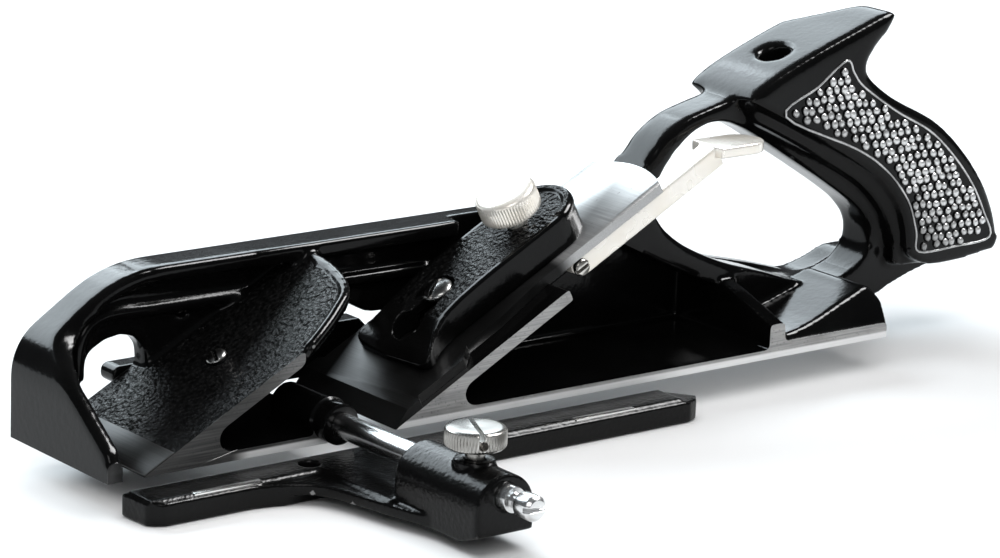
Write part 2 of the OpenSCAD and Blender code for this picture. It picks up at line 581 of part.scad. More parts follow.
// Spur: a flat nicker with three points, flush in its round recess, and its countersunk screw.
spur_head_d = spur_screw_d + 2.6;
spur_sink = spur_t - 0.15;
module spur() color(steel) from_toe() across(spur_x, spur_z) translate([0, 0, -half_w]) difference() {
    intersection() {
        cylinder(d = spur_d, h = spur_t);
        union() {
            for (a = [90, 210, 330]) rotate([0, 0, a]) translate([0, -1.9, -1])
                cube([spur_d, 3.8, spur_t + 2]);
            translate([0, 0, -1]) cylinder(d = spur_d * 0.55, h = spur_t + 2);
        }
    }
    rotate_extrude() polygon([[0, -1], [spur_head_d / 2 + slip, -1], [spur_head_d / 2 + slip, 0],
        [spur_screw_d / 2 + slip, spur_sink], [spur_screw_d / 2 + slip, spur_t + 1], [0, spur_t + 1]]);
}
module spur_screw() color(steel) from_toe() across(spur_x, spur_z) translate([0, 0, -half_w]) difference() {
    rotate_extrude() polygon([[0, 0], [spur_head_d / 2, 0], [spur_screw_d / 2, spur_sink],
        [spur_screw_d / 2, web_t], [0, web_t]]);
    translate([-spur_head_d, -0.4, -1]) cube([2 * spur_head_d, 0.8, 1.5]);
}

body_casting();
cutter();
lever_cap();
lever_cap_thumbscrew();
main_fulcrum_screw();
front_fulcrum_screw();
adjusting_lever();
lever_pivot_screw();
fence_arm();
fence();
fence_thumbscrew();
depth_stop();
depth_stop_screw();
depth_stop_washer();
spur();
spur_screw();
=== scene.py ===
import math
import random

import bmesh
import bpy
from mathutils import Matrix, Vector


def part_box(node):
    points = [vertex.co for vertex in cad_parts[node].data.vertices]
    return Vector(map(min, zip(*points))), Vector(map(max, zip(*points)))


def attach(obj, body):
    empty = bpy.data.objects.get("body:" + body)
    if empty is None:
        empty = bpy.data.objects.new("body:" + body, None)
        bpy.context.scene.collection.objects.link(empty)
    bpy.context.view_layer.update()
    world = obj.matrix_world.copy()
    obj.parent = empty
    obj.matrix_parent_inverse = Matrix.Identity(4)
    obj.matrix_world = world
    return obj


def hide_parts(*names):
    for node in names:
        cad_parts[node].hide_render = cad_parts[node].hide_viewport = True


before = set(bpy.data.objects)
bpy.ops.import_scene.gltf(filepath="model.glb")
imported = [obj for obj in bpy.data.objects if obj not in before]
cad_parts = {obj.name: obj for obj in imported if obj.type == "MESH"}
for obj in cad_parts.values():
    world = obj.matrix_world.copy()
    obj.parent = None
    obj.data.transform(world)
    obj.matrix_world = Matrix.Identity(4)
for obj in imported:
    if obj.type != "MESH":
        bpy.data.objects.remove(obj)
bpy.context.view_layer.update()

# Pieces are modelled in millimetres in the frame of the part, then brought to metres. Finishes read
# metres.
MM = 0.001
METRE = 1000

# The plane lies along x with its sole at z = 0. Both beds rise toward the heel from their foot on the sole.
TOE = -61.0
HEEL = 177.0
HALF_W = 21.0
WEB_Y = 16.0
BED_ANGLE = math.radians(28)
FRONT_FOOT = TOE + 9.5
MAIN_FOOT = TOE + 80
ARM_Z = 5.5

# The middle of the handle across the plane, and how far its cheeks stand out from there.
GRIP_Y = 6.0
CHEEK = 13.0

# The fence hangs below the sole and stands on the floor.
FLOOR_Z = -8.05


class Wire:
    """A socket in a finish's node tree. Sums and products of wires add Math nodes to the tree."""

    def __init__(self, tree, socket=None):
        self.tree = tree
        self.socket = socket

    def node(self, kind, settings, sockets, out=0):
        """A new node: its settings are set first, then each socket takes a wire or a plain value."""
        made = self.tree.nodes.new(kind)
        for key, value in settings.items():
            setattr(made, key, value)
        for key, value in sockets.items():
            if isinstance(value, Wire):
                self.tree.links.new(value.socket, made.inputs[key])
            else:
                made.inputs[key].default_value = value
        return Wire(self.tree, made.outputs[out])

    def maths(self, operation, *values):
        return self.node("ShaderNodeMath", {"operation": operation}, dict(enumerate(values)))

    def __add__(self, other):
        return self.maths("ADD", self, other)

    __radd__ = __add__

    def __sub__(self, other):
        return self.maths("SUBTRACT", self, other)

    def __rsub__(self, other):
        return self.maths("SUBTRACT", other, self)

    def __mul__(self, other):
        return self.maths("MULTIPLY", self, other)

    __rmul__ = __mul__

    def between(self, low, high):
        """0 below low, 1 above high, and smooth between them."""
        return self.node("ShaderNodeMapRange", {"interpolation_type": "SMOOTHSTEP"},
                         {"Value": self, "From Min": low, "From Max": high})


class Finish:
    """A node material: what varies over the surface is given as wires, the rest as plain numbers."""

    def __init__(self, name):
        self.material = bpy.data.materials.new(name)
        self.material.use_nodes = True
        self.tree = self.material.node_tree
        self.shader = self.tree.nodes["Principled BSDF"]
        self.wire = Wire(self.tree)
        self.place = self.wire.node("ShaderNodeTexCoord", {}, {}, "Object")
        self.edge = self.wire.node("ShaderNodeNewGeometry", {}, {}, "Pointiness")

    def noise(self, scale, detail=3.0, stretch=(1, 1, 1), turn=0.0, roughness=0.5):
        lie = self.wire.node("ShaderNodeMapping", {},
                             {"Vector": self.place, "Rotation": (0, turn, 0), "Scale": stretch})
        return self.wire.node("ShaderNodeTexNoise", {},
                              {"Vector": lie, "Scale": scale, "Detail": detail, "Roughness": roughness})

    def cells(self, scale):
        return self.wire.node("ShaderNodeTexVoronoi", {"feature": "F1"},
                              {"Vector": self.place, "Scale": scale}, "Distance")

    def axis(self, name):
        return self.wire.node("ShaderNodeSeparateXYZ", {}, {"Vector": self.place}, name)

    def blend(self, amount, first, second):
        return self.wire.node("ShaderNodeMix", {"data_type": "RGBA"},
                              {"Factor": amount, 6: first, 7: second}, 2)

    def bump(self, height, depth, strength, normal=None):
        sockets = {"Height": height, "Distance": depth, "Strength": strength}
        if normal is not None:
            sockets["Normal"] = normal
        return self.wire.node("ShaderNodeBump", {}, sockets)

    def set(self, **sockets):
        for key, value in sockets.items():
            socket = self.shader.inputs[key.replace("_", " ")]
            if isinstance(value, Wire):
                self.tree.links.new(value.socket, socket)
            else:
                socket.default_value = value
        return self.material


def grey(value, warm=0.0):
    """A grey, turned toward cream by its warmth."""
    return (value * (1 + warm), value, value * (1 - 1.6 * warm), 1)


def black_enamel(name, peel_depth, peel_scale, low_rough, wear_level, gaps=0.44):
    """Glossy black enamel over cast iron: a faint peel, cloudy gloss, and thin grey where edges rub."""
    f = Finish(name)
    cloud = f.noise(55, 4)
    peel = f.noise(peel_scale, 2)
    dust = f.noise(1900, 2).between(0.66, 0.74)
    rub = f.edge.between(0.535, 0.60) * f.noise(60, 3).between(gaps, gaps + 0.16) * wear_level
    colour = f.blend(cloud.between(0.3, 0.75), grey(0.0016), grey(0.0034))
    colour = f.blend(dust * 0.2, colour, grey(0.015))
    colour = f.blend(rub, colour, grey(0.24))
    f.set(Base_Color=colour,
          Roughness=low_rough + 0.08 * cloud + 0.22 * rub + 0.06 * dust,
          Normal=f.bump(peel, peel_depth, 0.6, f.bump(cloud, 0.0001, 0.2)))
    return f.set(IOR=1.5, Specular_IOR_Level=0.15)


def grip_painted_highlights(name, low, high, grain, spread):
    """Grip enamel: gloss black in the hollows, its crests painted bright as highlights in the look of
    rubbed iron, most toward the back.
    """
    f = Finish(name)
    cloud = f.noise(140, 3)
    speck = f.noise(1500, 2)
    out = f.wire.maths("ABSOLUTE", f.axis("Y") - GRIP_Y * MM)
    # Painted highlight: the crests that stand furthest out are near-white metal.
    crest_highlight = (out + grain * (speck - 0.5) + 0.0005 * (cloud - 0.5)).between(low, high)
    # The painted highlights grow toward the back of the handle.
    back = (0.6 * f.axis("X") + 0.8 * f.axis("Z") + 0.012 * (cloud - 0.5)).between(0.132, 0.151)
    crest_highlight = crest_highlight * (1 - spread + spread * back)
    colour = f.blend(cloud.between(0.3, 0.75), grey(0.0012), grey(0.003))
    colour = f.blend(crest_highlight, colour, grey(0.72))
    f.set(Base_Color=colour,
          Roughness=0.13 + 0.08 * cloud + 0.14 * crest_highlight,
          Metallic=crest_highlight * 0.8,
          Normal=f.bump(speck, 0.00005, 0.4))
    return f.set(IOR=1.5, Specular_IOR_Level=0.15)


def pebbled_enamel(name):
    """Enamel over an unfinished cast face: fine grains that each catch the light."""
    f = Finish(name)
    grain = f.noise(900, 2, roughness=0.55)
    pits = f.cells(820)
    cloud = f.noise(70, 3)
    rub = f.edge.between(0.53, 0.60) * f.noise(150, 3).between(0.5, 0.62) * 0.5
    colour = f.blend(grain.between(0.35, 0.7), grey(0.0014), grey(0.006))
    colour = f.blend(rub, colour, grey(0.14))
    f.set(Base_Color=colour,
          Roughness=0.20 + 0.10 * cloud + 0.10 * rub,
          Normal=f.bump(grain + 0.7 * pits, 0.0007, 0.9))
    return f.set(IOR=1.5, Specular_IOR_Level=0.11)


def seat_iron(name):
    """The seat's ground face, with painted shade: darker toward its right end (+y), lighter toward the
    left.
    """
    f = Finish(name)
    streak = f.noise(1, 4, stretch=(2200, 50, 2200), turn=BED_ANGLE)
    patch = f.noise(80, 4)
    # Painted shade: the far part across the seat is darker grey, the near part lighter.
    lighter_part = (0.004 * (patch - 0.5) - f.axis("Y")).between(0.004, HALF_W * MM)
    colour = f.blend(streak.between(0.3, 0.7), grey(0.03), grey(0.05))
    colour = f.blend(lighter_part, colour, f.blend(streak, grey(0.08), grey(0.13)))
    f.set(Base_Color=colour,
          Roughness=0.30 + 0.14 * streak + 0.1 * patch,
          Normal=f.bump(streak, 0.00006, 0.4))
    return f.set(Metallic=1.0)


def ground_iron(name):
    """Bare iron from a surface grinder: streaks along the length, pits, and a painted highlight strip by
    the sole.
    """
    f = Finish(name)
    streak = f.noise(1, 5, stretch=(60, 2600, 2600))
    fine = f.noise(1, 2, stretch=(260, 7000, 7000))
    patch = f.noise(90, 4)
    pit = 1 - f.cells(900).between(0.10, 0.28)
    # Painted highlight: a near-white, less metallic strip along the foot of the ground faces, from here
    # back.
    sole_highlight_from = (TOE + 33) * MM
    sole_highlight_all = (TOE + 39) * MM
    sole_highlight = (1 - f.axis("Z").between(0.0013, 0.0019)) * f.axis("X").between(sole_highlight_from, sole_highlight_all)
    # Lighter grey over a span of the length, from TOE + 27 to TOE + 91.
    lighter_span = f.axis("X").between((TOE + 27) * MM, (TOE + 91) * MM)
    colour = f.blend(streak.between(0.32, 0.68), grey(0.06), grey(0.11, 0.01))
    colour = f.blend(lighter_span, colour, f.blend(streak.between(0.32, 0.68), grey(0.28), grey(0.42, 0.01)))
    colour = f.blend(patch.between(0.45, 0.75) * 0.4, colour, grey(0.09, 0.03))
    colour = f.blend(pit * 0.35, colour, grey(0.05))
    colour = f.blend(sole_highlight * (0.75 + 0.25 * streak), colour, grey(0.93))
    f.set(Base_Color=colour,
          Roughness=0.36 + 0.16 * streak + 0.10 * patch,
          Metallic=0.85 - 0.6 * sole_highlight,
          Normal=f.bump(streak + 0.5 * fine - 0.6 * pit, 0.00008, 0.5))
    return f.material


def whetted_steel(name):
    """Tool steel with grinding lines across it: painted shade makes it near black below, and it is bright
    at the upper end.
    """
    f = Finish(name)
    line = f.noise(1, 3, stretch=(2600, 60, 2600), turn=BED_ANGLE)
    stain = f.noise(65, 5)
    speck = f.noise(900, 2).between(0.68, 0.76)
    climb = f.axis("X") * math.cos(BED_ANGLE) + f.axis("Z") * math.sin(BED_ANGLE)
    foot = MAIN_FOOT * MM * math.cos(BED_ANGLE)
    lighter_from = foot + 0.0635
    lighter_all = foot + 0.070
    lighter_part = (climb + 0.004 * stain).between(lighter_from, lighter_all)
    colour = f.blend(line.between(0.3, 0.7), grey(0.38), grey(0.44))
    colour = f.blend(stain.between(0.5, 0.8) * 0.4, colour, grey(0.33, 0.03))
    colour = f.blend(speck * 0.5, colour, grey(0.14, 0.04))
    # Painted shade: below the rise the cutter is near black and less metallic, above it bright steel.
    painted_shade_lower = f.blend(stain.between(0.35, 0.7), grey(0.004), grey(0.011))
    colour = f.blend(lighter_part, painted_shade_lower, colour)
    f.set(Base_Color=colour,
          Roughness=0.26 + 0.12 * line + 0.10 * stain,
          Metallic=0.3 + 0.7 * lighter_part,
          Normal=f.bump(line, 0.00006, 0.4))
    return f.set(Specular_IOR_Level=0.15)


def turned_steel(name):
    """Bright bar steel, polished, with fine rings round the bar."""
    f = Finish(name)
    ring = f.noise(1, 3, stretch=(50, 5200, 50))
    smear = f.noise(110, 4)
    colour = f.blend(ring.between(0.3, 0.7), grey(0.60), grey(0.78))
    colour = f.blend(smear.between(0.55, 0.8) * 0.4, colour, grey(0.40, 0.03))
    f.set(Base_Color=colour,
          Roughness=0.14 + 0.14 * smear + 0.06 * ring,
          Normal=f.bump(ring, 0.00004, 0.4))
    return f.set(Metallic=1.0)


def nickel_plate(name, warm, metal, light, dull, wear):
    """Nickel plate, cream in tone, brightest where fingers rub it and dull in patches and hollows."""
    f = Finish(name)
    cloud = f.noise(120, 1)
    hollow = 1 - f.edge.between(0.38, 0.46)
    rub = f.edge.between(0.52, 0.60) * wear
    colour = f.blend(cloud.between(0.35, 0.6), grey(light * dull, warm), grey(light, warm * 0.7))
    colour = f.blend(hollow * 0.8, colour, grey(0.20, 0.09))
    colour = f.blend(rub, colour, grey(0.88, warm * 0.6))
    f.set(Base_Color=colour,
          Roughness=0.22 + 0.10 * cloud + 0.2 * hollow - 0.05 * rub)
    return f.set(Metallic=metal)


ENAMEL = black_enamel("gloss_enamel", peel_depth=0.00006, peel_scale=620, low_rough=0.10, wear_level=0.2)
CAP_ENAMEL = black_enamel("cap_enamel", peel_depth=0.00006, peel_scale=620, low_rough=0.10,
                          wear_level=0.9, gaps=0.30)
# The pebble crests and the panel rim carry painted highlights.
GRIP_PEBBLE = grip_painted_highlights("grip_pebble", low=0.0133, high=0.0137, grain=0.0003, spread=0.6)
GRIP_RIM = grip_painted_highlights("grip_rim", low=0.0130, high=0.0134, grain=0.0001, spread=0.3)
FENCE_ENAMEL = black_enamel("fence_enamel", peel_depth=0.00018, peel_scale=900, low_rough=0.17,
                            wear_level=1.0)
PEBBLED = pebbled_enamel("pebbled_enamel")
GROUND = ground_iron("ground_iron")
SEAT = seat_iron("seat_iron")
BLADE = whetted_steel("whetted_steel")
BAR = turned_steel("turned_steel")
NICKEL = nickel_plate("nickel_plate", warm=0.05, metal=1.0, light=0.30, dull=0.35, wear=0.6)
SCREW_STEEL = nickel_plate("screw_steel", warm=0.02, metal=1.0, light=0.12, dull=0.9, wear=1.0)
CREAM_NICKEL = nickel_plate("cream_nickel_plate", warm=0.06, metal=0.45, light=0.93, dull=0.94, wear=0)


def node_copy(node):
    """A merged copy of a CAD node's mesh in millimetres."""
    bm = bmesh.new()
    bm.from_mesh(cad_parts[node].data)
    bmesh.ops.scale(bm, vec=(METRE, METRE, METRE), verts=bm.verts)
    bmesh.ops.remove_doubles(bm, verts=bm.verts, dist=0.002)
    bm.normal_update()
    return bm


def shown(name, data):
    item = bpy.data.objects.new(name, data)
    bpy.context.scene.collection.objects.link(item)
    return item


def through(bm, *modifiers):
    """Puts a bmesh through modifiers, each a type with its settings."""
    mesh = bpy.data.meshes.new("work")
    bm.to_mesh(mesh)
    bm.clear()
    item = shown("work", mesh)
    for kind, settings in modifiers:
        step = item.modifiers.new(kind, kind)
        for key, value in settings.items():
            setattr(step, key, value)
    graph = bpy.context.evaluated_depsgraph_get()
    bm.from_mesh(item.evaluated_get(graph).to_mesh())
    bpy.data.objects.remove(item)
    bpy.data.meshes.remove(mesh)
    bm.normal_update()


def smoothed(bm, passes, where=lambda place: True):
    """Evens out the vertices at the places that are asked for, once a pass."""
    verts = [v for v in bm.verts if where(v.co)]
    for _ in range(passes):
        bmesh.ops.smooth_vert(bm, verts=verts, factor=0.5, use_axis_x=True, use_axis_y=True,
                              use_axis_z=True)


def thinned(bm, most):
    """Brings a mesh of quads down to about so many triangles."""
    triangles = 2 * len(bm.faces)
    if triangles > most:
        through(bm, ("DECIMATE", {"ratio": most / triangles}))


def soft_cast(bm, voxel, passes):
    """Rounds a closed form's edges as a cast or forged piece has them."""
    through(bm, ("REMESH", {"mode": "VOXEL", "voxel_size": voxel}))
    smoothed(bm, passes)


def piece(bm, name, body, finishes, node=None, sharp=35):
    """Makes a bmesh in millimetres a piece that rides on a body, in place of a CAD node if one is named."""
    bmesh.ops.scale(bm, vec=(MM, MM, MM), verts=bm.verts)
    mesh = bpy.data.meshes.new(name)
    bm.to_mesh(mesh)
    bm.free()
    for finish in finishes:
        mesh.materials.append(finish)
    mesh.shade_smooth()
    mesh.set_sharp_from_angle(angle=math.radians(sharp))
    item = shown(name, mesh)
    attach(item, body)
    if node:
        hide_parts(node)


def placed(bm, matrix):
    bmesh.ops.transform(bm, matrix=matrix, verts=bm.verts)


def on_bed(foot, s, y, off):
    """A place on a bed: s up its slope, y across it and off above it, with z square to the bed."""
    turn = Matrix.Rotation(-BED_ANGLE, 4, "Y")
    return Matrix.Translation((foot, 0, 0)) @ turn @ Matrix.Translation((s, y, off))


def bed_span(node, foot):
    """A node's place on a bed: the middle of its reach up the slope, its lowest and its highest off."""
    back = on_bed(foot, 0, 0, 0).inverted()
    points = [back @ (Vector(v.co) * METRE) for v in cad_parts[node].data.vertices]
    s = [p.x for p in points]
    off = [p.z for p in points]
    return (min(s) + max(s)) / 2, min(off), max(off)


def block(bm, low, high, matrix=Matrix.Identity(4)):
    """A box between two corners, added to a bmesh."""
    low, high = Vector(low), Vector(high)
    size = high - low
    lie = matrix @ Matrix.Translation((low + high) / 2) @ Matrix.Diagonal((*size, 1))
    bmesh.ops.create_cube(bm, size=1, matrix=lie)


def eased_edges(bm, width, angle=28):
    """Bevels every edge that turns by more than the angle; gives the new faces."""
    bm.normal_update()
    edges = [e for e in bm.edges if e.is_manifold and e.calc_face_angle() > math.radians(angle)]
    return bmesh.ops.bevel(bm, geom=edges, offset=width, offset_type="OFFSET", segments=2, profile=0.5,
                           affect="EDGES", clamp_overlap=True, material=-1)["faces"]


def flats_joined(bm):
    """Joins the triangles of each flat face."""
    bmesh.ops.dissolve_limit(bm, angle_limit=math.radians(0.5), verts=bm.verts, edges=bm.edges)


def eased_copy(node, name, body, finish, width, angle=28):
    """A machined piece: the solid's own form with eased edges."""
    bm = node_copy(node)
    flats_joined(bm)
    eased_edges(bm, width, angle)
    piece(bm, name, body, [finish], node, sharp=30)


def turned(profile, steps=64):
    """A profile of (radius, height) spun round the z axis."""
    bm = bmesh.new()
    ring = [bm.verts.new((r, 0, z)) for r, z in profile]
    for a, b in zip(ring, ring[1:]):
        bm.edges.new((a, b))
    bmesh.ops.spin(bm, geom=bm.verts[:] + bm.edges[:], cent=(0, 0, 0), axis=(0, 0, 1),
                   angle=2 * math.pi, steps=steps, use_merge=True)
    bmesh.ops.remove_doubles(bm, verts=bm.verts, dist=0.001)
    bmesh.ops.recalc_face_normals(bm, faces=bm.faces)
    return bm


def shank(radius, length, chamfer):
    """The start of a screw's profile: its shank below the head, chamfered at its end."""
    return [(0, -length), (radius - chamfer, -length), (radius, -length + chamfer), (radius, 0)]


def knurled(bm, radius, low, high, depth, steps):
    """Presses every second column of a turned rim inwards, so that it stands in ridges."""
    for v in bm.verts:
        r = math.hypot(v.co.x, v.co.y)
        column = round(math.atan2(v.co.y, v.co.x) / (2 * math.pi) * steps)
        if abs(r - radius) < 0.02 and low - 0.01 < v.co.z < high + 0.01 and column % 2:
            v.co.x *= (r - depth) / r
            v.co.y *= (r - depth) / r


def cut_with(bm, tool):
    """Takes the tool's solid out of the bmesh."""
    mesh = bpy.data.meshes.new("tool")
    tool.to_mesh(mesh)
    tool.free()
    item = shown("tool", mesh)
    through(bm, ("BOOLEAN", {"operation": "DIFFERENCE", "solver": "EXACT", "object": item}))
    bpy.data.objects.remove(item)
    bpy.data.meshes.remove(mesh)


def slotted(bm, width, top, depth, turn):
    """Saws a slot right across a head whose top is at a height."""
    reach = 20
    over = 5
    saw = bmesh.new()
    block(saw, (-reach, -width / 2, top - depth), (reach, width / 2, top + over),
          Matrix.Rotation(turn, 4, "Z"))
    cut_with(bm, saw)


def rod(bm, path, radius, closed=False):
    """A round bead along a path, added to a bmesh."""
    line = bpy.data.curves.new("rod", "CURVE")
    line.dimensions = "3D"
    line.bevel_depth = radius
    line.bevel_resolution = 3
    line.use_fill_caps = True
    spline = line.splines.new("POLY")
    spline.points.add(len(path) - 1)
    for point, at in zip(spline.points, path):
        point.co = (*at, 1)
    spline.use_cyclic_u = closed
    item = shown("rod", line)
    graph = bpy.context.evaluated_depsgraph_get()
    bm.from_mesh(item.evaluated_get(graph).to_mesh())
    bpy.data.objects.remove(item)
    bpy.data.curves.remove(line)


def curve(points, steps=6, closed=False):
    """A smooth line through points."""
    n = len(points)
    spans = n if closed else n - 1
    line = []
    for i in range(spans):
        if closed:
            a, b, c, d = (Vector(points[(i + k) % n]) for k in (-1, 0, 1, 2))
        else:
            a, b, c, d = (Vector(points[min(max(i + k, 0), n - 1)]) for k in (-1, 0, 1, 2))
        for k in range(steps):
            t = k / steps
            line.append(0.5 * (2 * b + (c - a) * t + (2 * a - 5 * b + 4 * c - d) * t * t
                               + (3 * b - a - 3 * c + d) * t ** 3))
    if not closed:
        line.append(Vector(points[-1]))
    return line


# Body casting: soft cast skin, with crisp ground faces on both sides and under the sole.
# The bead round the nose's opening is given as x from the toe and height, the rim of the front bed's
# upper end as x from the toe and y.
NOSE_BEAD = [(15.2, 12.5), (14.9, 18), (15.9, 22.5), (18, 25.4), (21.2, 27), (26, 27.5), (45, 27.1),
             (116, 26.4)]
NOSE_BEAD_R = 1.6
PLATE_RIM = [(55, -20.2), (60, -18.2), (66.4, -14.9), (72, -10.4), (75.4, 0), (77.2, 12)]
PLATE_RIM_R = 1.35
GRINDING = 2.0
BODY_TRIANGLES = 165000


def extended(bm, axis, level, out):
    """Draws the flat faces at a level outwards, so that what smoothing rounds there is ground off."""
    faces = [f for f in bm.faces
             if abs(f.calc_center_median()[axis] - level) < 0.02 and abs(f.normal[axis]) > 0.99]
    grown = bmesh.ops.extrude_face_region(bm, geom=faces)["geom"]
    step = [0, 0, 0]
    step[axis] = out
    bmesh.ops.translate(bm, vec=step, verts=[v for v in grown if isinstance(v, bmesh.types.BMVert)])
    bm.normal_update()


def ground_flat(bm, axis, level, sign):
    """Cuts off what lies past a level and closes the cut with a flat face."""
    normal = [0, 0, 0]
    normal[axis] = sign
    where = [0, 0, 0]
    where[axis] = level
    cut = bmesh.ops.bisect_plane(bm, geom=bm.verts[:] + bm.edges[:] + bm.faces[:], dist=0.0001,
                                 plane_co=where, plane_no=normal, clear_outer=True)["geom_cut"]
    rim = [e for e in cut if isinstance(e, bmesh.types.BMEdge)]
    bmesh.ops.triangle_fill(bm, use_beauty=True, use_dissolve=False, edges=rim, normal=normal)
    bm.normal_update()


def in_nose(place):
    """The nose and the front throat, which are softer than the rest."""
    return place.x < TOE + 62 and place.z > 4 and (place.y > 6 or place.x < TOE + 22)


def in_handle(place):
    """The handle, which is the softest part, short of the ground right side."""
    return place.x > HEEL - 66 and place.z > 17.5 and place.y < 19.5


def body_casting():
    bm = node_copy("body_casting")
    # The boss of the fence arm is ground off with the side here. It is a turned piece of its own below.
    for v in bm.verts:
        if v.co.y < -HALF_W - 0.5:
            v.co.y = -HALF_W - GRINDING
    bm.normal_update()
    extended(bm, 1, HALF_W, GRINDING)
    extended(bm, 1, -HALF_W, -GRINDING)
    extended(bm, 2, 0, -GRINDING)
    bead_y = WEB_Y - 0.3
    rod(bm, [(TOE + p.x, bead_y, p.y) for p in curve(NOSE_BEAD)], NOSE_BEAD_R)
    slope = math.tan(BED_ANGLE)
    rim = [(TOE + p.x, p.y, (TOE + p.x - FRONT_FOOT) * slope - 0.5) for p in curve(PLATE_RIM)]
    rod(bm, rim, PLATE_RIM_R)
    soft_cast(bm, voxel=0.6, passes=4)
    smoothed(bm, 9, in_nose)
    smoothed(bm, 22, in_handle)
    thinned(bm, BODY_TRIANGLES)
    ground_flat(bm, 1, HALF_W, 1)
    ground_flat(bm, 1, -HALF_W, -1)
    ground_flat(bm, 2, 0, -1)
    finishes = [ENAMEL, GROUND, PEBBLED]
    ground = finishes.index(GROUND)
    pebbled = finishes.index(PEBBLED)
    lighter_from = TOE + 7
    plate_end = TOE + 85
    lie = on_bed(FRONT_FOOT, 0, 0, 0)
    square = lie.to_3x3() @ Vector((0, 0, 1))
    back = lie.inverted()
    for f in bm.faces:
        at = f.calc_center_median()
        if at.x > lighter_from and (abs(at.y) > HALF_W - 0.01 or at.z < 0.01):
            f.material_index = ground
        elif f.normal.dot(square) > 0.95 and abs((back @ at).z) < 0.4 and at.x < plate_end:
            f.material_index = pebbled
    piece(bm, "body_iron", "body", finishes, "body_casting")


body_casting()


# Seat at the foot of the front bed: a low pad, ground smooth for the cutter.
def front_seat():
    start = 0.6
    end = 9.6
    sunk = 0.6
    proud = 0.22
    bm = bmesh.new()
    block(bm, (start, -HALF_W + 0.25, -sunk), (end, WEB_Y - 0.3, proud), on_bed(FRONT_FOOT, 0, 0, 0))
    eased_edges(bm, width=0.2)
    piece(bm, "front_seat", "body", [SEAT])


front_seat()


# Boss that the fence arm screws into, turned on its face.
def arm_boss():
    bore = 3.12
    r = 5.0
    out = 4.6
    root = 0.8
    bm = turned([(bore, -out), (r - 0.6, -out), (r - 0.2, -out + 0.15), (r, -out + 0.5), (r, 0.1),
                 (r + 0.5, root), (bore, root), (bore, -out)])
    placed(bm, Matrix.Translation((0, -HALF_W - 0.1, ARM_Z)) @ Matrix.Rotation(math.radians(-90), 4, "X"))
    piece(bm, "arm_boss", "body", [ENAMEL])


arm_boss()


# Grip panels: raised pebbles inside a fine rim, on both cheeks. The outline is x from the toe and height.
PANEL = [(211.5, 58.6), (222, 65.2), (231.4, 71.2), (234.4, 67.6), (238.2, 63.6), (250, 56), (262.5, 49.4),
         (271.5, 42), (279.4, 33.2), (284.6, 24.6), (287.3, 17.4), (275, 16.4), (261.4, 16.6), (260, 22.4),
         (256.2, 31.4), (248, 40.2), (236.6, 47.4)]
PANEL_LOW = (211, 15.5)
PEBBLE_STEP = 2.65
PEBBLE_ROWS = 26
PEBBLE_COLUMNS = 31
PEBBLE_MARGIN = 1.25


def inside(x, z, outline):
    """Whether a place lies within a closed outline."""
    hit = False
    for (ax, az), (bx, bz) in zip(outline, outline[1:] + outline[:1]):
        if (az > z) != (bz > z) and x < ax + (z - az) * (bx - ax) / (bz - az):
            hit = not hit
    return hit


def edge_gap(x, z, outline):
    """How far a place is from the nearest edge of a closed outline."""
    gap = 1e9
    for a, b in zip(outline, outline[1:] + outline[:1]):
        a, b, p = Vector(a), Vector(b), Vector((x, z))
        t = min(max((p - a).dot(b - a) / (b - a).length_squared, 0), 1)
        gap = min(gap, (p - a - t * (b - a)).length)
    return gap


def grip_pebbles(name, side, seed):
    """Pebbles in staggered rows over the panel on one side, each a little off its place and size."""
    rng = random.Random(seed)
    bm = bmesh.new()
    sunk = 0.15
    y = GRIP_Y + side * (CHEEK - sunk)
    low_x, low_z = PANEL_LOW
    row_step = PEBBLE_STEP * 0.87
    for row in range(PEBBLE_ROWS):
        for column in range(PEBBLE_COLUMNS):
            x = low_x + PEBBLE_STEP * (column + 0.5 * (row % 2)) + rng.uniform(-0.38, 0.38)
            z = low_z + row_step * row + rng.uniform(-0.34, 0.34)
            if not inside(x, z, PANEL) or edge_gap(x, z, PANEL) < PEBBLE_MARGIN:
                continue
            size = (rng.uniform(1.3, 1.65), rng.uniform(0.95, 1.15), rng.uniform(1.1, 1.35), 1)
            turn = Matrix.Rotation(rng.uniform(0.2, 1.3), 4, "Y")
            lie = Matrix.Translation((TOE + x, y, z)) @ turn @ Matrix.Diagonal(size)
            bmesh.ops.create_uvsphere(bm, u_segments=8, v_segments=6, radius=1, matrix=lie)
    piece(bm, name, "body", [GRIP_PEBBLE], sharp=180)


def panel_rim(name, side):
    bm = bmesh.new()
    y = GRIP_Y + side * (CHEEK - 0.05)
    line = [(TOE + p.x, y, p.y) for p in curve(PANEL, steps=5, closed=True)]
    rod(bm, line, radius=0.38, closed=True)
    piece(bm, name, "body", [GRIP_RIM], sharp=180)


LEFT = -1
RIGHT = 1
grip_pebbles("grip_pebbles_left", LEFT, 5)
grip_pebbles("grip_pebbles_right", RIGHT, 6)
panel_rim("grip_rim_left", LEFT)
panel_rim("grip_rim_right", RIGHT)


